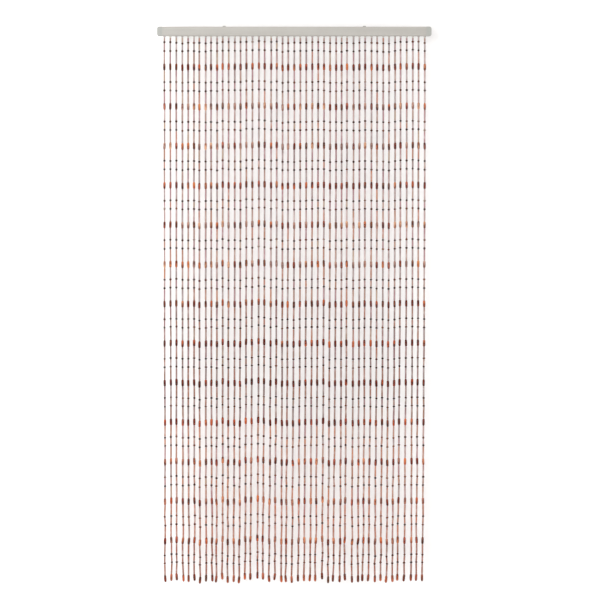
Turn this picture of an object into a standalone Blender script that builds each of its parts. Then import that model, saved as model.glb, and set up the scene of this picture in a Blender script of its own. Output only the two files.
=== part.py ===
"""Bead curtain for a doorway: a slim channel rail with end caps and hanging lugs, and 45 bead strings.

Metres, +Z up. The rail's back lies on the wall plane, y = 0, and its front faces -Y.
The origin is the middle of the rail's back face.
"""

import math
import random

import bmesh
import bpy
from mathutils import Vector

# Clearance kept between pieces that touch
GAP = 0.0003

# Rail, with its end caps
RAIL_LENGTH = 0.900
RAIL_HEIGHT = 0.030
RAIL_DEPTH = 0.022
RAIL_WALL = 0.0015
RAIL_CORNER = 0.0024
SLOT_WIDTH = 0.009

CAP_LENGTH = 0.0165
CAP_PROUD = 0.0004
CAP_END_CORNER = 0.007
CAP_SPIGOT = 0.0015

# Hanging lugs on top of the rail
LUG_OFFSET = 0.230
LUG_WIDTH = 0.010
LUG_DEPTH = 0.016
LUG_RISE = 0.003
LUG_CORNER = 0.002

# Carrier strip that lies on the rail's lips
STRIP_WIDTH = 0.017
STRIP_THICKNESS = 0.002

# Bead strings, as they leave the strip
STRAND_COUNT = 45
STRAND_PITCH = 0.01944
TUBE_WIDTH = 0.0058

# Long beads, counted down each string
LONG_BEAD_COUNT = 14
LONG_BEAD_PITCH = 0.1295
FIRST_LONG_BEAD = 0.1026
LONG_BEAD_LENGTH = 0.0235
LONG_BEAD_WIDTH = 0.0084
END_BEAD_RAISE = 0.0076

# How the strings are set out along the rail
HANG_SEED = 45
ROOT_SPREAD = 0.0008
ROOT_DEPTH_SPREAD = 0.0003
ROOT_WAVE = 0.0016
WAVES = 2.2
WAVE_START = 0.05

# How far they hang out of true by the hem
DRAW_IN_LEFT = 0.003
DRAW_IN_RIGHT = -0.0085
HEM_SPREAD = 0.0011
DRIFT_POWER = 2.3
DEPTH_SPREAD = 0.0016
DROP_SPREAD = 0.0024
STRETCH_SPREAD = 0.0030
KINK_TOP = 0.0002
KINK_HEM = 0.0008
KINK_POWER = 4
MOST_SPREADS = 2.2

# Strings that stray at the hem, by number from the left
STRAYS = {
    8: {"drift": 0.0035, "drop": 0.0020},
    15: {"drift": -0.0028, "drop": -0.0030},
    20: {"drift": 0.0025, "drop": -0.0010},
    33: {"drift": 0.0021, "drop": 0.0040},
    40: {"drift": -0.0025, "drop": -0.0020},
}

# Three corners to a string, one at the back, so that its front shows the full width
CORNER_ANGLES = (math.radians(90), math.radians(210), math.radians(330))

RAIL_BODY_LENGTH = RAIL_LENGTH - 2 * CAP_LENGTH - 2 * GAP
RAIL_BOTTOM = -RAIL_HEIGHT / 2
RAIL_MIDDLE = -RAIL_DEPTH / 2
STRIP_BOTTOM = RAIL_BOTTOM + RAIL_WALL + GAP
STRIP_LENGTH = RAIL_LENGTH - 2 * (CAP_LENGTH + CAP_SPIGOT + GAP)
FARTHEST_ROOT = (STRIP_LENGTH - TUBE_WIDTH) / 2 - GAP

MATERIALS = {
    "rail_paint": {"colour": (200, 196, 189), "roughness": 0.45, "metallic": 0.0},
    "cap_plastic": {"colour": (194, 193, 189), "roughness": 0.5, "metallic": 0.0},
    "lug_plastic": {"colour": (186, 185, 180), "roughness": 0.5, "metallic": 0.0},
    "bead_resin": {"colour": (168, 118, 96), "roughness": 0.25, "metallic": 0.0},
}


def linear(channel):
    """One 0 to 255 screen channel as a linear value."""
    share = channel / 255
    return share / 12.92 if share <= 0.04045 else ((share + 0.055) / 1.055) ** 2.4


def make_material(name, colour, roughness, metallic):
    material = bpy.data.materials.new(name)
    material.use_nodes = True
    shader = material.node_tree.nodes["Principled BSDF"]
    shader.inputs["Base Color"].default_value = (*map(linear, colour), 1)
    shader.inputs["Roughness"].default_value = roughness
    shader.inputs["Metallic"].default_value = metallic
    material.diffuse_color = (*map(linear, colour), 1)
    return material


def add_object(name, bm, collection, material=None):
    """Turns a bmesh into an object of the collection."""
    bmesh.ops.recalc_face_normals(bm, faces=bm.faces)
    mesh = bpy.data.meshes.new(name)
    bm.to_mesh(mesh)
    bm.free()
    if material:
        mesh.materials.append(material)
    mesh.shade_smooth()
    mesh.set_sharp_from_angle(angle=math.radians(35))
    piece = bpy.data.objects.new(name, mesh)
    collection.objects.link(piece)
    return piece


def box_between(bm, low, high):
    """A cube stretched to the box from its low corner to its high corner."""
    cube = bmesh.ops.create_cube(bm, size=1)["verts"]
    low, high = Vector(low), Vector(high)
    bmesh.ops.scale(bm, vec=high - low, verts=cube)
    bmesh.ops.translate(bm, vec=(low + high) / 2, verts=cube)
    return cube


def make_rail(collection, material):
    """The channel's outer surface, given its wall by Solidify and its round edges by Bevel."""
    lip = (RAIL_DEPTH - SLOT_WIDTH) / 2
    section = (
        (-lip, RAIL_BOTTOM),
        (0, RAIL_BOTTOM),
        (0, -RAIL_BOTTOM),
        (-RAIL_DEPTH, -RAIL_BOTTOM),
        (-RAIL_DEPTH, RAIL_BOTTOM),
        (lip - RAIL_DEPTH, RAIL_BOTTOM),
    )
    bm = bmesh.new()
    start = [bm.verts.new((-RAIL_BODY_LENGTH / 2, y, z)) for y, z in section]
    edges = [bm.edges.new(pair) for pair in zip(start, start[1:])]
    grown = bmesh.ops.extrude_edge_only(bm, edges=edges)["geom"]
    far = [v for v in grown if isinstance(v, bmesh.types.BMVert)]
    bmesh.ops.translate(bm, vec=(RAIL_BODY_LENGTH, 0, 0), verts=far)
    rail = add_object("rail", bm, collection, material)

    top = max(rail.data.polygons, key=lambda face: face.center.z)
    if top.normal.z < 0:
        rail.data.flip_normals()
    rounding = rail.modifiers.new("rounded_edges", "BEVEL")
    rounding.limit_method = "ANGLE"
    rounding.width = RAIL_CORNER
    rounding.segments = 3
    wall = rail.modifiers.new("wall", "SOLIDIFY")
    wall.thickness = RAIL_WALL
    wall.offset = -1
    wall.use_even_offset = True
    return rail


def make_end_cap(name, side, collection, material):
    """A block with round outer corners and a shallow spigot that enters the rail. side is -1 left, 1 right."""
    outer = RAIL_LENGTH / 2
    inner = outer - CAP_LENGTH
    reach = -RAIL_BOTTOM + CAP_PROUD
    bm = bmesh.new()
    box_between(bm, (inner, -RAIL_DEPTH - CAP_PROUD, -reach), (outer, 0, reach))

    def at_end(edge):
        return all(abs(v.co.x - outer) < GAP for v in edge.verts)

    def runs_deep(edge):
        return abs(edge.verts[0].co.y - edge.verts[1].co.y) > RAIL_DEPTH / 2

    ends = [edge for edge in bm.edges if at_end(edge) and runs_deep(edge)]
    bmesh.ops.bevel(
        bm, geom=ends, offset=CAP_END_CORNER, segments=4, profile=0.5, affect="EDGES", material=-1
    )

    def rims_a_side(edge):
        sides = [abs(face.normal.y) > 0.9 for face in edge.link_faces]
        joint = any(face.normal.x < -0.9 for face in edge.link_faces)
        return sides.count(True) == 1 and not joint

    bm.normal_update()
    rims = [edge for edge in bm.edges if rims_a_side(edge)]
    bmesh.ops.bevel(
        bm, geom=rims, offset=RAIL_CORNER, segments=3, profile=0.5, affect="EDGES", material=-1
    )

    bm.normal_update()
    joint = min(bm.faces, key=lambda face: face.calc_center_median().x)
    bmesh.ops.inset_region(bm, faces=[joint], thickness=CAP_PROUD + RAIL_WALL + GAP, depth=0)
    grown = bmesh.ops.extrude_face_region(bm, geom=[joint])["geom"]
    bmesh.ops.delete(bm, geom=[joint], context="FACES_ONLY")
    tip = [v for v in grown if isinstance(v, bmesh.types.BMVert)]
    bmesh.ops.translate(bm, vec=(-CAP_SPIGOT, 0, 0), verts=tip)
    if side < 0:
        bmesh.ops.scale(bm, vec=(-1, 1, 1), verts=bm.verts)
    return add_object(name, bm, collection, material)


def make_hanging_lug(name, side, collection, material):
    """A low plate on top of the rail, flush with its back."""
    middle = side * LUG_OFFSET
    foot = -RAIL_BOTTOM + GAP
    bm = bmesh.new()
    box_between(
        bm,
        (middle - LUG_WIDTH / 2, -LUG_DEPTH, foot),
        (middle + LUG_WIDTH / 2, 0, -RAIL_BOTTOM + LUG_RISE),
    )
    upright = [
        edge for edge in bm.edges if abs(edge.verts[0].co.z - edge.verts[1].co.z) > LUG_RISE / 2
    ]
    bmesh.ops.bevel(
        bm, geom=upright, offset=LUG_CORNER, segments=3, profile=0.5, affect="EDGES", material=-1
    )
    return add_object(name, bm, collection, material)


def spread(rng, size):
    """A random offset of about the given size, never more than a few times it."""
    return max(-MOST_SPREADS, min(MOST_SPREADS, rng.gauss(0, 1))) * size


def strand_hang():
    """For each string, where its root is, and how it drifts, drops and stretches by the hem."""
    rng = random.Random(HANG_SEED)
    strands = []
    left_in_group, group_drop = 0, 0
    for number in range(STRAND_COUNT):
        if left_in_group == 0:
            left_in_group = rng.randint(2, 4)
            group_drop = spread(rng, DROP_SPREAD)
        left_in_group -= 1
        across = number / (STRAND_COUNT - 1)
        ease = min(1, 2 * across)
        stray = STRAYS.get(number, {"drift": 0, "drop": 0})
        draw_in = DRAW_IN_LEFT + (DRAW_IN_RIGHT - DRAW_IN_LEFT) * ease * ease * (3 - 2 * ease)
        wave = ROOT_WAVE * (1 - across) * math.cos(2 * math.pi * WAVES * (across - WAVE_START))
        root = (across - 0.5) * STRAND_PITCH * (STRAND_COUNT - 1) + wave + spread(rng, ROOT_SPREAD)
        strands.append(
            {
                "root": max(-FARTHEST_ROOT, min(FARTHEST_ROOT, root)),
                "root_depth": RAIL_MIDDLE + spread(rng, ROOT_DEPTH_SPREAD),
                "drift": draw_in + stray["drift"] + spread(rng, HEM_SPREAD),
                "depth": spread(rng, DEPTH_SPREAD),
                "drop": group_drop + spread(rng, DROP_SPREAD / 3),
                "stretch": stray["drop"] + spread(rng, STRETCH_SPREAD),
                "kinks": [
                    (spread(rng, 1), spread(rng, 1)) for _ in range(2 * LONG_BEAD_COUNT)
                ],
            }
        )
    return strands


def strand_joints(strand):
    """The upper and lower end of each long bead down a string, as pairs of points."""
    hem = FIRST_LONG_BEAD + (LONG_BEAD_COUNT - 1) * LONG_BEAD_PITCH
    joints = []
    for bead in range(LONG_BEAD_COUNT):
        middle = FIRST_LONG_BEAD + bead * LONG_BEAD_PITCH
        share = middle / hem
        if bead == LONG_BEAD_COUNT - 1:
            middle -= END_BEAD_RAISE
        middle += strand["drop"] + strand["stretch"] * share
        drift = strand["drift"] * share**DRIFT_POWER
        kink = KINK_TOP + KINK_HEM * share**KINK_POWER
        ends = []
        for half, (sideways, inwards) in zip((-0.5, 0.5), strand["kinks"][2 * bead : 2 * bead + 2]):
            x = strand["root"] + drift + kink * sideways
            y = strand["root_depth"] + strand["depth"] * share + kink * inwards
            ends.append(Vector((x, y, RAIL_BOTTOM - middle - half * LONG_BEAD_LENGTH)))
        joints.append(ends)
    return joints


def strand_stations(strand):
    """(point, width) down a string: thin between the long beads and full width at their middles."""
    root = Vector((strand["root"], strand["root_depth"], STRIP_BOTTOM + STRIP_THICKNESS / 2))
    stations = [(root, TUBE_WIDTH)]
    for upper, lower in strand_joints(strand):
        stations.append((upper, TUBE_WIDTH))
        stations.append(((upper + lower) / 2, LONG_BEAD_WIDTH))
        stations.append((lower, TUBE_WIDTH))
    return stations


def grow_strand(bm, stations):
    """Extrudes a three-sided string, open at both ends, from its root down through its stations."""
    point, width = stations[0]
    corners = bmesh.ops.create_circle(bm, radius=1, segments=len(CORNER_ANGLES))["verts"]
    for corner, angle in zip(corners, CORNER_ANGLES):
        outward = Vector((math.cos(angle), math.sin(angle), 0))
        corner.co = point + outward * width / math.sqrt(3)
    ring = list({edge for corner in corners for edge in corner.link_edges})
    for below, next_width in stations[1:]:
        grown = bmesh.ops.extrude_edge_only(bm, edges=ring)["geom"]
        for corner in (v for v in grown if isinstance(v, bmesh.types.BMVert)):
            corner.co = below + (corner.co - point) * (next_width / width)
        ring = [e for e in grown if isinstance(e, bmesh.types.BMEdge)]
        point, width = below, next_width


def make_strands(collection, helpers, material):
    """The carrier strip, with every string fused into its underside."""
    bm = bmesh.new()
    box_between(
        bm,
        (-STRIP_LENGTH / 2, RAIL_MIDDLE - STRIP_WIDTH / 2, STRIP_BOTTOM),
        (STRIP_LENGTH / 2, RAIL_MIDDLE + STRIP_WIDTH / 2, STRIP_BOTTOM + STRIP_THICKNESS),
    )
    strip = add_object("strands", bm, collection, material)

    bm = bmesh.new()
    for strand in strand_hang():
        grow_strand(bm, strand_stations(strand))
    bmesh.ops.holes_fill(bm, edges=bm.edges, sides=len(CORNER_ANGLES))
    strings = add_object("strings_to_fuse", bm, helpers)
    strings.hide_render = True
    strings.display_type = "WIRE"

    fuse = strip.modifiers.new("fused_strings", "BOOLEAN")
    fuse.operation = "UNION"
    fuse.object = strings
    return strip


def clear_scene():
    for item in list(bpy.data.objects):
        bpy.data.objects.remove(item, do_unlink=True)


def new_collection(name):
    collection = bpy.data.collections.new(name)
    bpy.context.scene.collection.children.link(collection)
    return collection


def main():
    clear_scene()
    curtain = new_collection("bead_curtain")
    helpers = new_collection("bead_curtain_helpers")
    materials = {name: make_material(name, **look) for name, look in MATERIALS.items()}
    make_rail(curtain, materials["rail_paint"])
    for name, side in (("left", -1), ("right", 1)):
        make_end_cap(f"end_cap_{name}", side, curtain, materials["cap_plastic"])
        make_hanging_lug(f"hanging_lug_{name}", side, curtain, materials["lug_plastic"])
    make_strands(curtain, helpers, materials["bead_resin"])


main()
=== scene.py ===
import math
import random

import bmesh
import bpy
import numpy as np
from mathutils import Matrix, Vector


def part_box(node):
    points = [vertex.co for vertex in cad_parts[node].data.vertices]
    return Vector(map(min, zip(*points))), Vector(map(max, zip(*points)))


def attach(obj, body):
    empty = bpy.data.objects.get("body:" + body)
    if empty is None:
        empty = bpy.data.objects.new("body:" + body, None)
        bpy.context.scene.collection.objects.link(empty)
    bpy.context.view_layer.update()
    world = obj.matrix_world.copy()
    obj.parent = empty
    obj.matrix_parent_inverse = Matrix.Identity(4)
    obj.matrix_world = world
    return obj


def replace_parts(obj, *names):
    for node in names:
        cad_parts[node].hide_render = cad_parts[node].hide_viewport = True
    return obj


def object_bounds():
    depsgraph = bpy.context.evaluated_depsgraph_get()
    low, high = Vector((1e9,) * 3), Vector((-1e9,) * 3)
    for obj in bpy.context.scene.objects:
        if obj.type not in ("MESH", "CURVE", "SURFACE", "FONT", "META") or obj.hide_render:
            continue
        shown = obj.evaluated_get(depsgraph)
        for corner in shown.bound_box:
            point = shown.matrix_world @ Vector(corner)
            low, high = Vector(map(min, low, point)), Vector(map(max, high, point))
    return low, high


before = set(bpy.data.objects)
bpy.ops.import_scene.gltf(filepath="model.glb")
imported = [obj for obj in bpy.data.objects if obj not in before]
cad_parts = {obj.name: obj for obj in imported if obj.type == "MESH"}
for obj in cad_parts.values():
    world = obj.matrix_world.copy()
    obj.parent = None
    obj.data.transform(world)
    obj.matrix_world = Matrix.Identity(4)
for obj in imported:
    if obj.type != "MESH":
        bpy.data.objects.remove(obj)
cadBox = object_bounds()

print("frame loaded")


# Camera, square on to the curtain. Pixels are those of the 600 by 600 photograph
photo = {
    "side": 600,
    "railLeft": 157.0,
    "railRight": 431.55,
    "railTop": 26.65,
    "cameraDistance": 12.0,
    "sensor": 36.0,
}


def makeCamera():
    low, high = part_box("rail")
    left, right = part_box("end_cap_left")[0].x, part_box("end_cap_right")[1].x
    metresPerPixel = (right - left) / (photo["railRight"] - photo["railLeft"])
    middle = photo["side"] / 2
    aimX = left + (middle - photo["railLeft"]) * metresPerPixel
    aimZ = high.z - (middle - photo["railTop"]) * metresPerPixel
    data = bpy.data.cameras.new("camera")
    data.sensor_width = photo["sensor"]
    data.lens = photo["sensor"] * photo["cameraDistance"] / (photo["side"] * metresPerPixel)
    camera = bpy.data.objects.new("camera", data)
    camera.location = (aimX, low.y - photo["cameraDistance"], aimZ)
    camera.rotation_euler = (math.pi / 2, 0, 0)
    bpy.context.scene.collection.objects.link(camera)
    bpy.context.scene.camera = camera


makeCamera()
print("camera set")


# How the strings hang, the same rule and seed as the solids
hang = {
    "seed": 45,
    "strings": 45,
    "bundle": 5,    # strings whose beads make one piece
    "pitch": 0.01944,
    "farthestRoot": 0.4285,
    "rootSpread": 0.0008,
    "rootDepthSpread": 0.0003,
    "rootWave": 0.0016,
    "waves": 2.2,
    "waveStart": 0.05,
    "drawInLeft": 0.003,
    "drawInRight": -0.0085,
    "hemSpread": 0.0011,
    "driftPower": 2.3,
    "depthSpread": 0.0016,
    "dropSpread": 0.0024,
    "stretchSpread": 0.0030,
    "kinkTop": 0.0002,
    "kinkHem": 0.0008,
    "kinkPower": 4,
    "mostSpreads": 2.2,
    "longBeads": 14,
    "longPitch": 0.1295,
    "firstLong": 0.1026,
    "longLength": 0.0235,
    "endRaise": 0.0076,
}

strays = {
    8: {"drift": 0.0035, "drop": 0.0020},
    15: {"drift": -0.0028, "drop": -0.0030},
    20: {"drift": 0.0025, "drop": -0.0010},
    33: {"drift": 0.0021, "drop": 0.0040},
    40: {"drift": -0.0025, "drop": -0.0020},
}

railLow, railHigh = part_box("rail")
railBottom = railLow.z
railMiddle = (railLow.y + railHigh.y) / 2


def spread(rng, size):
    return max(-hang["mostSpreads"], min(hang["mostSpreads"], rng.gauss(0, 1))) * size


def hangStrings():
    rng = random.Random(hang["seed"])
    rows = []
    leftInGroup, groupDrop = 0, 0
    for number in range(hang["strings"]):
        if leftInGroup == 0:
            leftInGroup = rng.randint(2, 4)
            groupDrop = spread(rng, hang["dropSpread"])
        leftInGroup -= 1
        across = number / (hang["strings"] - 1)
        ease = min(1, 2 * across)
        stray = strays.get(number, {"drift": 0, "drop": 0})
        drawInRange = hang["drawInRight"] - hang["drawInLeft"]
        drawIn = hang["drawInLeft"] + drawInRange * ease * ease * (3 - 2 * ease)
        phase = 2 * math.pi * hang["waves"] * (across - hang["waveStart"])
        wave = hang["rootWave"] * (1 - across) * math.cos(phase)
        root = (across - 0.5) * hang["pitch"] * (hang["strings"] - 1) + wave + spread(rng, hang["rootSpread"])
        rows.append({
            "root": max(-hang["farthestRoot"], min(hang["farthestRoot"], root)),
            "rootDepth": railMiddle + spread(rng, hang["rootDepthSpread"]),
            "drift": drawIn + stray["drift"] + spread(rng, hang["hemSpread"]),
            "depth": spread(rng, hang["depthSpread"]),
            "drop": groupDrop + spread(rng, hang["dropSpread"] / 3),
            "stretch": stray["drop"] + spread(rng, hang["stretchSpread"]),
            "kinks": [(spread(rng, 1), spread(rng, 1)) for _ in range(2 * hang["longBeads"])],
        })
    return rows


def longBeadEnds(row):    # upper and lower end of each long bead down one string
    hem = hang["firstLong"] + (hang["longBeads"] - 1) * hang["longPitch"]
    pairs = []
    for bead in range(hang["longBeads"]):
        middle = hang["firstLong"] + bead * hang["longPitch"]
        share = middle / hem
        if bead == hang["longBeads"] - 1:
            middle -= hang["endRaise"]
        middle += row["drop"] + row["stretch"] * share
        drift = row["drift"] * share ** hang["driftPower"]
        kink = hang["kinkTop"] + hang["kinkHem"] * share ** hang["kinkPower"]
        ends = []
        for half, (sideways, inwards) in zip((-0.5, 0.5), row["kinks"][2 * bead:2 * bead + 2]):
            x = row["root"] + drift + kink * sideways
            y = row["rootDepth"] + row["depth"] * share + kink * inwards
            ends.append(Vector((x, y, railBottom - middle - half * hang["longLength"])))
        pairs.append(ends)
    return pairs


# Where the small beads sit between two long beads, and how the threading leaves its gaps
threading = {
    "seed": 9,
    "holderEnd": 0.0065,      # below the rail
    "smallAt": (0.358, 0.618),
    "firstSmallAt": (0.0223, 0.0497),    # below the rail, in metres
    "smallLength": 0.0078,
    "slide": 0.0006,
    "bow": 0.0008,
    "gap": 0.00015,
}


def threadString(row, rng):    # every tube and bead of one string, as pairs of end points
    ends = longBeadEnds(row)
    root = Vector((row["root"], row["rootDepth"], railBottom))
    start = root - Vector((0, 0, threading["holderEnd"]))
    made = {"tubes": [], "small": [], "long": [], "path": [root, start]}
    for number, (upper, lower) in enumerate(ends):
        link = upper - start
        places = threading["smallAt"]
        if number == 0:
            holderEnd = threading["holderEnd"]
            places = [(at - holderEnd + row["drop"]) / link.length for at in threading["firstSmallAt"]]
        bow = threading["bow"] * (number / hang["longBeads"]) ** 3
        tops = start
        for at in places:
            centre = start + link * (at + spread(rng, threading["slide"]) / link.length)
            centre += Vector((spread(rng, bow), spread(rng, bow), 0))
            half = link.normalized() * threading["smallLength"] / 2
            made["tubes"].append((tops, centre - half))
            made["small"].append((centre - half, centre + half))
            made["path"] += [centre - half, centre + half]
            tops = centre + half
        made["tubes"].append((tops, upper))
        made["long"].append((upper, lower))
        made["path"] += [upper, lower]
        start = lower
    return made


def threadCurtain():
    rng = random.Random(threading["seed"])
    return [threadString(row, rng) for row in hangStrings()]


curtain = threadCurtain()
print("strings laid out:", len(curtain))


# Mesh helpers
def turned(name, outline, sides):    # a closed outline of (radius, height) spun about Z
    bm = bmesh.new()
    ring = [bm.verts.new((radius, 0, height)) for radius, height in outline]
    edges = [bm.edges.new((ring[i - 1], ring[i])) for i in range(len(ring))]
    bmesh.ops.spin(bm, geom=ring + edges, axis=(0, 0, 1), cent=(0, 0, 0), angle=2 * math.pi,
                   steps=sides, use_merge=True)
    bmesh.ops.remove_doubles(bm, verts=bm.verts, dist=1e-6)
    bmesh.ops.recalc_face_normals(bm, faces=bm.faces)
    mesh = bpy.data.meshes.new(name)
    bm.to_mesh(mesh)
    bm.free()
    return mesh


def between(upper, lower, length, width, turn):    # puts a template of that length between two points
    along = lower - upper
    rotation = (-along).to_track_quat("Z", "Y").to_matrix().to_4x4()
    size = Matrix.Diagonal((width, width, along.length / length, 1))
    return Matrix.Translation((upper + lower) / 2) @ rotation @ Matrix.Rotation(turn, 4, "Z") @ size


def strew(name, template, places):    # one copy of the template at each place, joined
    bm = bmesh.new()
    for place in places:
        copy = template.copy()
        copy.transform(place)
        bm.from_mesh(copy)
        bpy.data.meshes.remove(copy)
    mesh = bpy.data.meshes.new(name)
    bm.to_mesh(mesh)
    bm.free()
    heights = [corner.co.z for corner in template.vertices]
    low, high = min(heights), max(heights)
    along = [(high - height) / (high - low) for height in heights]
    setValues(mesh, "along", "FLOAT", np.tile(along, len(places)))
    return mesh


def bundles(name):    # five strings at a time, from the left, each bundle with a name of its own
    size = hang["bundle"]
    for number in range(hang["strings"] // size):
        yield name + str(number + 1), curtain[number * size:(number + 1) * size]


def numbered(strings, kind):    # each bead of that kind, with its number down its own string
    return [pair for string in strings for pair in enumerate(string[kind])]


def setValues(mesh, name, kind, values):
    layer = mesh.attributes.new(name, kind, "POINT")
    layer.data.foreach_set("color" if kind == "FLOAT_COLOR" else "value", np.asarray(values, float).ravel())


def perCopy(values, mesh):    # one value a copy, given to all of its corners
    return np.repeat(np.asarray(values, float), len(mesh.vertices) // len(values), axis=0)


def addPiece(name, mesh, material, smoothBelow=55):
    mesh.materials.append(material)
    mesh.shade_smooth()
    mesh.set_sharp_from_angle(angle=math.radians(smoothBelow))
    piece = bpy.data.objects.new(name, mesh)
    bpy.context.scene.collection.objects.link(piece)
    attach(piece, "root")
    return piece


# Node helpers
def linear(red, green, blue):    # screen colour, 0 to 255, as linear values
    shares = [channel / 255 for channel in (red, green, blue)]
    return (*[s / 12.92 if s <= 0.04045 else ((s + 0.055) / 1.055) ** 2.4 for s in shares], 1)


def addNode(tree, kind, settings=None, **inputs):
    node = tree.nodes.new(kind)
    for name, value in (settings or {}).items():
        setattr(node, name, value)
    for name, value in inputs.items():
        wire(tree, node, name, value)
    return node


def wire(tree, node, name, value):    # a socket takes either a link or a value
    socket = node.inputs[int(name[1:]) if name[0] == "i" and name[1:].isdigit() else name.replace("_", " ")]
    if isinstance(value, bpy.types.NodeSocket):
        tree.links.new(value, socket)
    else:
        socket.default_value = value


def newGroup(name, inputs, outputs):
    tree = bpy.data.node_groups.new(name, "ShaderNodeTree")
    for label, kind, default in inputs:
        socket = tree.interface.new_socket(name=label, in_out="INPUT", socket_type=kind)
        if default is not None:
            socket.default_value = default
    for label, kind in outputs:
        tree.interface.new_socket(name=label, in_out="OUTPUT", socket_type=kind)
    return tree, tree.nodes.new("NodeGroupInput"), tree.nodes.new("NodeGroupOutput")


def newMaterial(name, **values):    # plain numbers go on the shader's own sockets
    material = bpy.data.materials.new(name)
    material.use_nodes = True
    tree = material.node_tree
    shader = tree.nodes["Principled BSDF"]
    for socket, value in values.items():
        shader.inputs[socket.replace("_", " ")].default_value = value
    return material, tree, shader


def useGroup(tree, group, **inputs):
    return addNode(tree, "ShaderNodeGroup", {"node_tree": group}, **inputs)


floatIn, vectorIn = "NodeSocketFloat", "NodeSocketVector"


def grainGroup():    # fine moulded or painted grain: a height and a soft mottle
    tree, taken, given = newGroup(
        "fineGrain",
        [("Vector", vectorIn, None), ("Scale", floatIn, 900.0), ("Mottle Scale", floatIn, 40.0)],
        [("Height", floatIn), ("Mottle", floatIn)],
    )
    fine = addNode(tree, "ShaderNodeTexNoise", Vector=taken.outputs["Vector"], Scale=taken.outputs["Scale"],
                   Detail=2.0, Roughness=0.6)
    broad = addNode(tree, "ShaderNodeTexNoise", Vector=taken.outputs["Vector"],
                    Scale=taken.outputs["Mottle Scale"], Detail=4.0, Roughness=0.55)
    tree.links.new(fine.outputs["Fac"], given.inputs["Height"])
    tree.links.new(broad.outputs["Fac"], given.inputs["Mottle"])
    return tree


def marbleGroup():    # two tones that swirl into each other along a bead, with thin veins
    tree, taken, given = newGroup(
        "beadMarbling",
        [("Vector", vectorIn, None), ("Scale", floatIn, 120.0), ("Swirl", floatIn, 1.2),
         ("Along", floatIn, 0.5), ("Lean", floatIn, 0.0), ("Edge", floatIn, 0.12)],
        [("Mask", floatIn), ("Vein", floatIn), ("Cloud", floatIn)],
    )
    drawn = addNode(tree, "ShaderNodeVectorMath", {"operation": "MULTIPLY"}, i0=taken.outputs["Vector"],
                    i1=(1.5, 1.5, 0.75))
    swirl = addNode(tree, "ShaderNodeTexNoise", Vector=drawn.outputs[0], Scale=taken.outputs["Scale"],
                    Detail=2.5, Roughness=0.5, Distortion=taken.outputs["Swirl"])
    centred = addNode(tree, "ShaderNodeMath", {"operation": "SUBTRACT"}, i0=taken.outputs["Along"], i1=0.5)
    leaned = addNode(tree, "ShaderNodeMath", {"operation": "MULTIPLY_ADD"}, i0=centred.outputs[0],
                     i1=taken.outputs["Lean"], i2=swirl.outputs["Fac"])
    low = addNode(tree, "ShaderNodeMath", {"operation": "SUBTRACT"}, i0=0.5, i1=taken.outputs["Edge"])
    high = addNode(tree, "ShaderNodeMath", {"operation": "ADD"}, i0=0.5, i1=taken.outputs["Edge"])
    mask = addNode(tree, "ShaderNodeMapRange", {"interpolation_type": "SMOOTHSTEP"}, i0=leaned.outputs[0],
                   i1=low.outputs[0], i2=high.outputs[0])
    fold = addNode(tree, "ShaderNodeTexNoise", Vector=drawn.outputs[0], Scale=taken.outputs["Scale"],
                   Detail=1.0, Distortion=2.2)
    off = addNode(tree, "ShaderNodeMath", {"operation": "SUBTRACT"}, i0=fold.outputs["Fac"], i1=0.48)
    away = addNode(tree, "ShaderNodeMath", {"operation": "ABSOLUTE"}, i0=off.outputs[0])
    vein = addNode(tree, "ShaderNodeMapRange", i0=away.outputs[0], i1=0.0, i2=0.03, i3=1.0, i4=0.0)
    tree.links.new(mask.outputs[0], given.inputs["Mask"])
    tree.links.new(vein.outputs[0], given.inputs["Vein"])
    tree.links.new(swirl.outputs["Fac"], given.inputs["Cloud"])
    return tree


fineGrain = grainGroup()
beadMarbling = marbleGroup()


# Some links are deeper in tone, and most near the hem are warmer. Both are shares by link, from the rail
toning = {
    "bead": {
        "shade": {0: 0.93, 3: 0.93, 6: 0.93, 7: 0.8, 8: 0.76, 9: 0.86, 12: 0.96, 13: 0.92},
        "warmth": {0: 0.2, 3: 0.2, 6: 0.2, 7: 0.35, 8: 0.4, 9: 0.45, 10: 0.3, 11: 0.3, 12: 0.32, 13: 0.4},
    },
    "tube": {
        "shade": {0: 0.92, 3: 0.92, 6: 0.93, 7: 0.74, 8: 0.66, 9: 0.67, 13: 0.7},
        "warmth": {7: 0.08, 8: 0.1, 9: 0.1, 10: 0.06, 11: 0.08, 12: 0.25, 13: 0.42},
    },
    "blueDrop": 1.4,    # blue falls this many times as much as green
}


def toned(kind, colour, link):
    red, green, blue, _ = linear(*colour)
    shade = toning[kind]["shade"].get(link, 1.0)
    warmth = toning[kind]["warmth"].get(link, 0.0)
    return red * shade, green * shade * (1 - warmth), blue * shade * (1 - toning["blueDrop"] * warmth), 1


def blendColour(tree, first, second, share):
    mix = addNode(tree, "ShaderNodeMix", {"data_type": "RGBA"}, i0=share, i6=first, i7=second)
    return mix.outputs[2]


def drawnNoise(tree, position, stretch, detail):    # noise drawn out along one axis
    drawn = addNode(tree, "ShaderNodeVectorMath", {"operation": "MULTIPLY"}, i0=position, i1=stretch)
    noise = addNode(tree, "ShaderNodeTexNoise", Vector=drawn.outputs[0], Scale=1.0, Detail=detail)
    return noise.outputs["Fac"]


def remap(tree, value, low, high, fromLow=0.0, fromHigh=1.0):
    return addNode(tree, "ShaderNodeMapRange", i0=value, i1=fromLow, i2=fromHigh, i3=low, i4=high).outputs[0]


def bump(tree, shader, height, distance, strength=1.0):
    made = addNode(tree, "ShaderNodeBump", Height=height, Distance=distance, Strength=strength)
    tree.links.new(made.outputs["Normal"], shader.inputs["Normal"])


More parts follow.
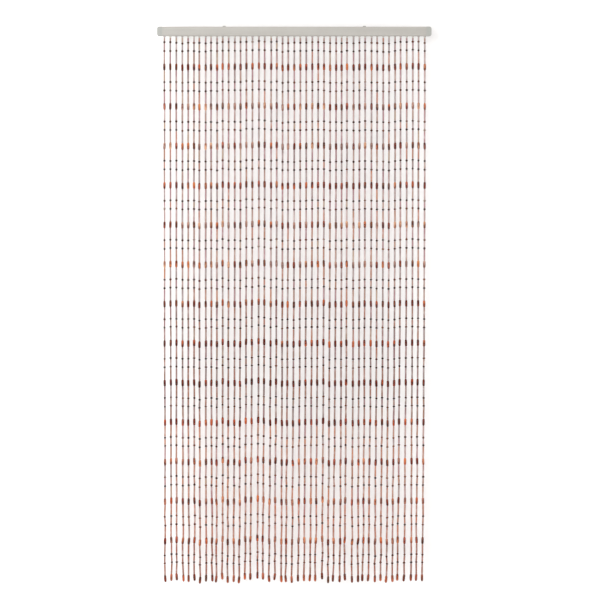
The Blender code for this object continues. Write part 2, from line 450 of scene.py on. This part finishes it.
# Rail, end caps and lugs keep their solids and get better finishes
railLook = {
    "paint": (162, 159, 153),
    "paintLow": (151, 148, 142),
    "paintHigh": (170, 168, 163),
    "dust": (180, 178, 174),
    "rough": (0.36, 0.52),
    "grainDepth": 0.00003,
    "streak": 0.35,
    "stretch": (3.0, 260.0, 260.0),
    "dustDepth": 0.0012,    # from the top
}


def railFinish():
    material, tree, shader = newMaterial("railPaint", Metallic=0.0, Coat_Weight=0.08, Coat_Roughness=0.3)
    position = addNode(tree, "ShaderNodeTexCoord").outputs["Object"]
    grain = useGroup(tree, fineGrain, Vector=position, Scale=1400.0, Mottle_Scale=22.0)
    streaks = drawnNoise(tree, position, railLook["stretch"], 3.0)
    shade = remap(tree, streaks, 0.0, railLook["streak"], 0.35, 0.7)
    colour = blendColour(tree, linear(*railLook["paint"]), linear(*railLook["paintLow"]), shade)
    cloudy = remap(tree, grain.outputs["Mottle"], 0.0, 0.3, 0.45, 0.75)
    mottled = blendColour(tree, colour, linear(*railLook["paintHigh"]), cloudy)
    height = addNode(tree, "ShaderNodeSeparateXYZ", Vector=position).outputs["Z"]
    dust = remap(tree, height, 0.0, 0.35, railHigh.z - railLook["dustDepth"], railHigh.z)
    dusted = blendColour(tree, mottled, linear(*railLook["dust"]), dust)
    tree.links.new(dusted, shader.inputs["Base Color"])
    tree.links.new(remap(tree, streaks, *railLook["rough"], 0.3, 0.7), shader.inputs["Roughness"])
    bump(tree, shader, grain.outputs["Height"], railLook["grainDepth"], 0.6)
    return material


capLook = {"cap": (152, 153, 148), "lug": (156, 155, 150), "rough": (0.42, 0.6), "grainDepth": 0.00005}


def capFinish(name, colour):
    material, tree, shader = newMaterial(name, Metallic=0.0)
    position = addNode(tree, "ShaderNodeTexCoord").outputs["Object"]
    grain = useGroup(tree, fineGrain, Vector=position, Scale=1900.0, Mottle_Scale=90.0)
    worn = remap(tree, grain.outputs["Mottle"], 0.0, 0.5, 0.35, 0.8)
    tone = blendColour(tree, linear(*colour), linear(*[min(255, channel + 14) for channel in colour]), worn)
    tree.links.new(tone, shader.inputs["Base Color"])
    rough = remap(tree, grain.outputs["Mottle"], *capLook["rough"], 0.3, 0.7)
    tree.links.new(rough, shader.inputs["Roughness"])
    bump(tree, shader, grain.outputs["Height"], capLook["grainDepth"], 0.7)
    return material


def refinish(node, material):
    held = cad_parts[node]
    held.data.materials.clear()
    held.data.materials.append(material)


def finishRail():
    refinish("rail", railFinish())
    cap, lug = capFinish("capPlastic", capLook["cap"]), capFinish("lugPlastic", capLook["lug"])
    for side in ("left", "right"):
        refinish("end_cap_" + side, cap)
        refinish("hanging_lug_" + side, lug)


finishRail()
print("rail finished")


# Carrier strip on the rail's lips
strip = {
    "width": 0.017,
    "thickness": 0.002,
    "wall": 0.0015,
    "gap": 0.0003,
    "edge": 0.0003,
    "colour": (205, 203, 197),
}


def makeStrip():
    low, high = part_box("strands")
    bottom = railBottom + strip["wall"] + strip["gap"]
    bm = bmesh.new()
    bmesh.ops.create_cube(bm, size=1)
    bmesh.ops.scale(bm, vec=(high.x - low.x, strip["width"], strip["thickness"]), verts=bm.verts)
    centre = ((low.x + high.x) / 2, railMiddle, bottom + strip["thickness"] / 2)
    bmesh.ops.translate(bm, vec=centre, verts=bm.verts)
    bmesh.ops.bevel(bm, geom=bm.edges, offset=strip["edge"], segments=2, profile=0.5, affect="EDGES",
                    material=-1)
    mesh = bpy.data.meshes.new("carrierStrip")
    bm.to_mesh(mesh)
    bm.free()
    piece = addPiece("carrierStrip", mesh, capFinish("stripPlastic", strip["colour"]), 40)
    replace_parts(piece, "strands")


makeStrip()


# Holders, the small moulded cups that grip each string under the rail
holder = {
    "sides": 8,
    "outline": (
        (0.0008, -0.0066), (0.0023, -0.0066), (0.0027, -0.0052), (0.0039, -0.0024),
        (0.0040, -0.0004), (0.0030, -0.0003), (0.0030, 0.0018), (0.0008, 0.0018),
    ),
    "colours": ((168, 161, 154), (156, 147, 142), (178, 172, 164), (162, 150, 148)),
    "worn": (214, 210, 203),
    "seed": 3,
}


def holderFinish():
    material, tree, shader = newMaterial("holderPlastic", Roughness=0.45)
    position = addNode(tree, "ShaderNodeTexCoord").outputs["Object"]
    tint = addNode(tree, "ShaderNodeAttribute", {"attribute_name": "tint"}).outputs["Color"]
    grain = useGroup(tree, fineGrain, Vector=position, Scale=2400.0, Mottle_Scale=400.0)
    worn = remap(tree, grain.outputs["Mottle"], 0.0, 0.35, 0.4, 0.8)
    tone = blendColour(tree, tint, linear(*holder["worn"]), worn)
    tree.links.new(tone, shader.inputs["Base Color"])
    bump(tree, shader, grain.outputs["Height"], 0.00004)
    return material


def makeHolders():
    rng = random.Random(holder["seed"])
    template = turned("holder", holder["outline"], holder["sides"])
    spots = []
    for string in curtain:
        spots.append(Matrix.Translation(string["path"][0]) @ Matrix.Rotation(rng.uniform(0, 6), 4, "Z"))
    mesh = strew("stringHolders", template, spots)
    tints = [linear(*rng.choice(holder["colours"])) for _ in spots]
    setValues(mesh, "tint", "FLOAT_COLOR", perCopy(tints, mesh))
    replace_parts(addPiece("stringHolders", mesh, holderFinish(), 50), "strands")


makeHolders()
print("strip and holders made")


# Thread through every tube and bead, with a knot under the end bead and painted shade along its twist
thread = {
    "width": 0.0009,
    "knotWidth": 0.0024,
    "knotDrop": 0.0016,
    "sides": 5,
    "colour": (196, 186, 176),
    # the darker colour is painted shade for the grooves of the twist
    "twistShadeColour": (150, 138, 128),
}


def threadFinish():
    material, tree, shader = newMaterial("threadFibre", Roughness=0.7, Sheen_Weight=0.2)
    position = addNode(tree, "ShaderNodeTexCoord").outputs["Object"]
    twist = addNode(tree, "ShaderNodeTexWave", {"bands_direction": "DIAGONAL"}, Vector=position, Scale=420.0,
                    Distortion=1.5).outputs["Fac"]
    # Painted shade: the wave bands darken the thread where the grooves of its twist would lie in shade
    grooveShade = remap(tree, twist, 0.0, 0.7)
    tone = blendColour(tree, linear(*thread["colour"]), linear(*thread["twistShadeColour"]), grooveShade)
    tree.links.new(tone, shader.inputs["Base Color"])
    bump(tree, shader, twist, 0.0001)
    return material


def threadStations(path):    # (point, width) down the thread and round its knot
    stations = [(point, thread["width"]) for point in path]
    last = path[-1]
    for drop, width in ((0.0002, 0.7), (0.5, 1.0), (0.9, 0.6)):
        knotWidth = thread["knotWidth"] * width
        stations.append((last - Vector((0, 0, drop * thread["knotDrop"])), knotWidth))
    return stations


def drawThread(bm, stations):
    point, width = stations[0]
    start = Matrix.Translation(point)
    ring = bmesh.ops.create_circle(bm, radius=width / 2, segments=thread["sides"], matrix=start)
    edges = list({edge for corner in ring["verts"] for edge in corner.link_edges})
    for below, nextWidth in stations[1:]:
        grown = bmesh.ops.extrude_edge_only(bm, edges=edges)["geom"]
        for corner in (item for item in grown if isinstance(item, bmesh.types.BMVert)):
            corner.co = below + (corner.co - point) * (nextWidth / width)
        edges = [item for item in grown if isinstance(item, bmesh.types.BMEdge)]
        point, width = below, nextWidth


def makeThreads():
    whole = bmesh.new()
    for string in curtain:
        bm = bmesh.new()
        drawThread(bm, threadStations(string["path"]))
        bmesh.ops.holes_fill(bm, edges=bm.edges, sides=thread["sides"])
        bmesh.ops.recalc_face_normals(bm, faces=bm.faces)
        mesh = bpy.data.meshes.new("oneThread")
        bm.to_mesh(mesh)
        bm.free()
        whole.from_mesh(mesh)
        bpy.data.meshes.remove(mesh)
    mesh = bpy.data.meshes.new("threads")
    whole.to_mesh(mesh)
    whole.free()
    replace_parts(addPiece("threads", mesh, threadFinish(), 80), "strands")


makeThreads()
print("threads drawn")


# Clear tubes between the beads
tube = {
    "sides": 10,
    "length": 1.0,
    "outer": 0.0029,
    "bore": 0.0011,
    "widths": (0.94, 1.05),
    "seed": 17,
    "tints": (    # share, screen colour
        (4, (178, 144, 141)), (4, (175, 142, 128)), (3, (168, 152, 150)),
        (3, (173, 132, 137)), (3, (188, 160, 156)), (2, (156, 133, 131)),
        (2, (199, 178, 174)), (1, (182, 156, 133)), (1, (190, 132, 111)),
    ),
    "stretch": (900.0, 900.0, 25.0),
    "hemTints": ((3, (184, 128, 102)), (3, (176, 126, 100)), (2, (180, 138, 120)), (1, (194, 126, 87))),
    "hemShare": 0.9,
    "streak": (219, 199, 195),
    "cloud": (227, 210, 207),
    "frost": (168, 148, 144),
}


def tubeFinish():
    material, tree, shader = newMaterial(
        "clearTube", Metallic=0.0, Transmission_Weight=0.3, IOR=1.4, Specular_IOR_Level=0.3
    )
    position = addNode(tree, "ShaderNodeTexCoord").outputs["Object"]
    tint = addNode(tree, "ShaderNodeAttribute", {"attribute_name": "tint"}).outputs["Color"]
    along = addNode(tree, "ShaderNodeAttribute", {"attribute_name": "along"}).outputs["Fac"]
    streaks = drawnNoise(tree, position, tube["stretch"], 2.0)
    clouds = addNode(tree, "ShaderNodeTexNoise", Vector=position, Scale=55.0, Detail=2.0).outputs["Fac"]
    streaked = blendColour(tree, tint, linear(*tube["streak"]), remap(tree, streaks, 0.0, 0.45, 0.4, 0.75))
    clouded = blendColour(tree, streaked, linear(*tube["cloud"]), remap(tree, clouds, 0.0, 0.5, 0.5, 0.75))
    middle = addNode(tree, "ShaderNodeMath", {"operation": "SUBTRACT"}, i0=along, i1=0.5).outputs[0]
    fromMiddle = addNode(tree, "ShaderNodeMath", {"operation": "ABSOLUTE"}, i0=middle).outputs[0]
    frosted = blendColour(tree, clouded, linear(*tube["frost"]), remap(tree, fromMiddle, 0.0, 0.5, 0.44, 0.5))
    tree.links.new(frosted, shader.inputs["Base Color"])
    tree.links.new(remap(tree, streaks, 0.08, 0.26, 0.3, 0.7), shader.inputs["Roughness"])
    bump(tree, shader, streaks, 0.00005, 0.5)
    return material


def pick(rng, choices):    # a colour by its share
    return rng.choices([colour for share, colour in choices], [share for share, colour in choices])[0]


def makeTubes():
    rng = random.Random(tube["seed"])
    half = tube["length"] / 2
    outline = ((tube["bore"], half), (tube["outer"], half), (tube["outer"], -half), (tube["bore"], -half))
    template = turned("tube", outline, tube["sides"])
    finish = tubeFinish()
    for name, strings in bundles("clearTubes"):
        spots, tints = [], []
        for number, (upper, lower) in numbered(strings, "tubes"):
            trim = (lower - upper).normalized() * threading["gap"]
            width, turn = rng.uniform(*tube["widths"]), rng.uniform(0, 6)
            spots.append(between(upper + trim, lower - trim, tube["length"], width, turn))
            hemward = number / (3 * hang["longBeads"])
            warm = rng.random() < tube["hemShare"] * hemward ** 2
            tints.append(toned("tube", pick(rng, tube["hemTints" if warm else "tints"]), number // 3))
        mesh = strew(name, template, spots)
        setValues(mesh, "tint", "FLOAT_COLOR", perCopy(tints, mesh))
        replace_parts(addPiece(name, mesh, finish), "strands")
        print(name, len(spots))


makeTubes()


# Small round beads, in pairs
smallBead = {
    "sides": 10,
    "outline": (
        (0.0011, 0.0039), (0.0031, 0.0028), (0.0040, 0.0010),
        (0.0040, -0.0010), (0.0031, -0.0028), (0.0011, -0.0039),
    ),
    "length": 0.0078,
    "widths": (0.92, 1.06),
    "seed": 29,
    "tints": (
        (6, (60, 32, 23)), (5, (73, 35, 24)), (3, (69, 36, 37)), (3, (84, 46, 27)), (3, (46, 23, 17)),
        (2, (109, 57, 33)), (2, (124, 91, 77)), (1, (160, 136, 124)), (1, (102, 36, 21)),
    ),
    "hemTints": ((3, (120, 67, 41)), (3, (105, 59, 37)), (2, (88, 47, 30)), (2, (138, 90, 63))),
    "smoke": (42, 26, 20),
    "vein": (176, 136, 110),
}


def smallBeadFinish():
    material, tree, shader = newMaterial(
        "smokyBead", Metallic=0.0, Transmission_Weight=0.1, IOR=1.45, Specular_IOR_Level=0.2
    )
    position = addNode(tree, "ShaderNodeTexCoord").outputs["Object"]
    tint = addNode(tree, "ShaderNodeAttribute", {"attribute_name": "tint"}).outputs["Color"]
    along = addNode(tree, "ShaderNodeAttribute", {"attribute_name": "along"}).outputs["Fac"]
    marble = useGroup(tree, beadMarbling, Vector=position, Scale=210.0, Swirl=1.6,
                      Along=along, Lean=0.1, Edge=0.2)
    smoky = remap(tree, marble.outputs["Mask"], 0.0, 0.55)
    smoke = blendColour(tree, tint, linear(*smallBead["smoke"]), smoky)
    veiny = remap(tree, marble.outputs["Vein"], 0.0, 0.25)
    veined = blendColour(tree, smoke, linear(*smallBead["vein"]), veiny)
    tree.links.new(veined, shader.inputs["Base Color"])
    tree.links.new(remap(tree, marble.outputs["Cloud"], 0.06, 0.2, 0.3, 0.7), shader.inputs["Roughness"])
    return material


def makeSmallBeads():
    rng = random.Random(smallBead["seed"])
    template = turned("smallBead", smallBead["outline"], smallBead["sides"])
    finish = smallBeadFinish()
    for name, strings in bundles("smallBeads"):
        spots, tints = [], []
        for number, ends in numbered(strings, "small"):
            width, turn = rng.uniform(*smallBead["widths"]), rng.uniform(0, 6)
            spots.append(between(*ends, smallBead["length"], width, turn))
            warm = rng.random() < (number / (2 * hang["longBeads"])) ** 3
            tints.append(toned("tube", pick(rng, smallBead["hemTints" if warm else "tints"]), number // 2))
        mesh = strew(name, template, spots)
        setValues(mesh, "tint", "FLOAT_COLOR", perCopy(tints, mesh))
        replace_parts(addPiece(name, mesh, finish), "strands")
        print(name, len(spots))


makeSmallBeads()


# Long marbled beads, in rows, and the end beads
longBead = {
    "sides": 10,
    "outline": (
        (0.0012, 0.01175), (0.0031, 0.0108), (0.0040, 0.0078), (0.0042, 0.0028),
        (0.0042, -0.0028), (0.0040, -0.0078), (0.0031, -0.0108), (0.0012, -0.01175),
    ),
    "length": 0.0235,
    "widths": (0.93, 1.03),
    "seed": 58,
    "lean": (-0.8, 0.35),
    "vein": (48, 24, 19),
    "glow": (200, 130, 82),
    "pairs": (    # share, main tone, second tone, which lies more towards the top
        (7, (82, 29, 18), (122, 52, 32)),
        (5, (84, 31, 18), (180, 97, 54)),
        (5, (70, 32, 21), (116, 65, 42)),
        (2, (120, 55, 30), (188, 109, 62)),
        (3, (78, 35, 32), (116, 62, 55)),
        (3, (102, 53, 37), (182, 127, 92)),
        (3, (100, 40, 30), (160, 89, 70)),
        (2, (70, 41, 35), (118, 83, 70)),
        (1, (160, 83, 42), (202, 129, 76)),
    ),
    "deepPairs": (
        (4, (76, 25, 13), (112, 44, 22)),
        (2, (66, 28, 16), (100, 50, 28)),
        (1, (82, 28, 13), (166, 82, 34)),
    ),
    "deepShare": {0: 0.2, 3: 0.2, 6: 0.4, 7: 0.6, 8: 0.95, 9: 0.3, 10: 0.2},    # by row, from the rail
    "palePairs": (
        (3, (116, 73, 62), (174, 136, 120)),
        (3, (100, 67, 60), (150, 117, 107)),
        (3, (136, 84, 63), (200, 152, 120)),
    ),
    "paleShare": {1: 0.35, 2: 0.35, 4: 0.4, 5: 0.35, 10: 0.2, 11: 0.4, 12: 0.3},
    "endPairs": (
        (3, (190, 115, 70), (114, 67, 48)),
        (5, (154, 94, 70), (100, 61, 46)),
        (3, (122, 64, 46), (86, 48, 37)),
        (3, (190, 127, 99), (128, 85, 68)),
        (1, (104, 85, 73), (78, 57, 49)),
    ),
}


def longBeadFinish():
    material, tree, shader = newMaterial("marbledBead", Metallic=0.0, IOR=1.45, Specular_IOR_Level=0.2)
    position = addNode(tree, "ShaderNodeTexCoord").outputs["Object"]
    main = addNode(tree, "ShaderNodeAttribute", {"attribute_name": "mainTone"}).outputs["Color"]
    second = addNode(tree, "ShaderNodeAttribute", {"attribute_name": "secondTone"}).outputs["Color"]
    along = addNode(tree, "ShaderNodeAttribute", {"attribute_name": "along"}).outputs["Fac"]
    lean = addNode(tree, "ShaderNodeAttribute", {"attribute_name": "lean"}).outputs["Fac"]
    marble = useGroup(tree, beadMarbling, Vector=position, Scale=105.0, Swirl=1.4,
                      Along=along, Lean=lean, Edge=0.1)
    tones = blendColour(tree, main, second, marble.outputs["Mask"])
    veiny = remap(tree, marble.outputs["Vein"], 0.0, 0.7)
    veined = blendColour(tree, tones, linear(*longBead["vein"]), veiny)
    glow = remap(tree, marble.outputs["Cloud"], 0.0, 0.3, 0.58, 0.75)
    glowing = blendColour(tree, veined, linear(*longBead["glow"]), glow)
    tree.links.new(glowing, shader.inputs["Base Color"])
    tree.links.new(remap(tree, marble.outputs["Cloud"], 0.1, 0.24, 0.3, 0.7), shader.inputs["Roughness"])
    return material


def beadTones(rng, row):    # two tones for a bead of that row, counted from the rail
    mood = rng.random()
    choices = longBead["pairs"]
    if row == hang["longBeads"] - 1:
        choices = longBead["endPairs"]
    elif mood < longBead["deepShare"].get(row, 0):
        choices = longBead["deepPairs"]
    elif mood > 1 - longBead["paleShare"].get(row, 0):
        choices = longBead["palePairs"]
    return rng.choices([tones for _, *tones in choices], [share for share, *_ in choices])[0]


def addLongBeads(name, beads, template, finish, rng):    # beads are pairs of a row and its two end points
    spots, mainTones, secondTones, leans = [], [], [], []
    for row, ends in beads:
        spots.append(between(*ends, longBead["length"], rng.uniform(*longBead["widths"]), rng.uniform(0, 6)))
        main, second = beadTones(rng, row)
        mainTones.append(toned("bead", main, row))
        secondTones.append(toned("bead", second, row))
        leans.append(rng.uniform(*longBead["lean"]))
    mesh = strew(name, template, spots)
    setValues(mesh, "mainTone", "FLOAT_COLOR", perCopy(mainTones, mesh))
    setValues(mesh, "secondTone", "FLOAT_COLOR", perCopy(secondTones, mesh))
    setValues(mesh, "lean", "FLOAT", perCopy(leans, mesh))
    piece = addPiece(name, mesh, finish)
    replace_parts(piece, "strands")
    print(name, len(spots))


def makeLongBeads():
    rng = random.Random(longBead["seed"])
    template = turned("longBead", longBead["outline"], longBead["sides"])
    finish = longBeadFinish()
    last = hang["longBeads"] - 1
    for name, strings in bundles("longBeads"):
        beads = [(row, string["long"][row]) for string in strings for row in range(last)]
        addLongBeads(name, beads, template, finish, rng)
    addLongBeads("endBeads", [(last, string["long"][last]) for string in curtain], template, finish, rng)


makeLongBeads()


# Plain studio: a pale floor that sweeps up behind the curtain, a soft key from the left and an even sky
studio = {
    "wallGap": 0.080,
    "floorDrop": 0.16,
    "sweep": 0.05,
    "reach": 9.0,
    "colour": (0.93, 0.93, 0.93, 1),
    "key": {"place": (-2.3, -5.4, -0.7), "size": 4.4, "power": 275.0},
    "sky": 0.84,
    "skyShown": 0.86,    # what a camera sees past the paper's edge
    "skyColour": (1.0, 0.985, 0.976, 1),
}


def paperFinish():    # clear from behind, so that the curtain's back can be looked at
    material, tree, shader = newMaterial("palePaper", Roughness=0.95, Specular_IOR_Level=0.0)
    shader.inputs["Base Color"].default_value = studio["colour"]
    behind = addNode(tree, "ShaderNodeNewGeometry").outputs["Backfacing"]
    tree.links.new(remap(tree, behind, 1.0, 0.0), shader.inputs["Alpha"])
    return material


def makeBackdrop():
    low, high = cadBox
    floor = low.z - studio["floorDrop"]
    back = high.y + studio["wallGap"]
    bm = bmesh.new()
    bmesh.ops.create_grid(bm, x_segments=1, y_segments=1, size=studio["reach"] / 2)
    bmesh.ops.translate(bm, vec=(0, back - studio["reach"] / 2, floor), verts=bm.verts)
    rear = [edge for edge in bm.edges if all(abs(corner.co.y - back) < 0.001 for corner in edge.verts)]
    grown = bmesh.ops.extrude_edge_only(bm, edges=rear)["geom"]
    raised = [item for item in grown if isinstance(item, bmesh.types.BMVert)]
    bmesh.ops.translate(bm, vec=(0, 0, studio["reach"] / 2), verts=raised)
    bmesh.ops.bevel(bm, geom=rear, offset=studio["sweep"], segments=8, profile=0.5, affect="EDGES",
                    material=-1)
    bmesh.ops.recalc_face_normals(bm, faces=bm.faces)
    if sum(face.normal.z for face in bm.faces) < 0:
        bmesh.ops.reverse_faces(bm, faces=bm.faces)
    mesh = bpy.data.meshes.new("backdrop")
    bm.to_mesh(mesh)
    bm.free()
    mesh.shade_smooth()
    mesh.materials.append(paperFinish())
    piece = bpy.data.objects.new("backdrop", mesh)
    bpy.context.scene.collection.objects.link(piece)


def addLamp(name, place, size, power):
    data = bpy.data.lights.new(name, "AREA")
    data.size = size
    data.energy = power
    lamp = bpy.data.objects.new(name, data)
    lamp.location = place
    lamp.visible_camera = False
    target = Vector((0, 0, (cadBox[0].z + cadBox[1].z) / 2))
    lamp.rotation_euler = (target - Vector(place)).to_track_quat("-Z", "Y").to_euler()
    bpy.context.scene.collection.objects.link(lamp)


def lightStudio():
    addLamp("keyLamp", **studio["key"])
    world = bpy.data.worlds.new("studioSky")
    world.use_nodes = True
    tree = world.node_tree
    sky = tree.nodes["Background"]
    sky.inputs["Color"].default_value = studio["skyColour"]
    seen = addNode(tree, "ShaderNodeLightPath").outputs["Is Camera Ray"]
    tree.links.new(remap(tree, seen, studio["sky"], studio["skyShown"]), sky.inputs["Strength"])
    bpy.context.scene.world = world
    bpy.context.scene.view_settings.view_transform = "Standard"


makeBackdrop()
lightStudio()
print("studio lit")
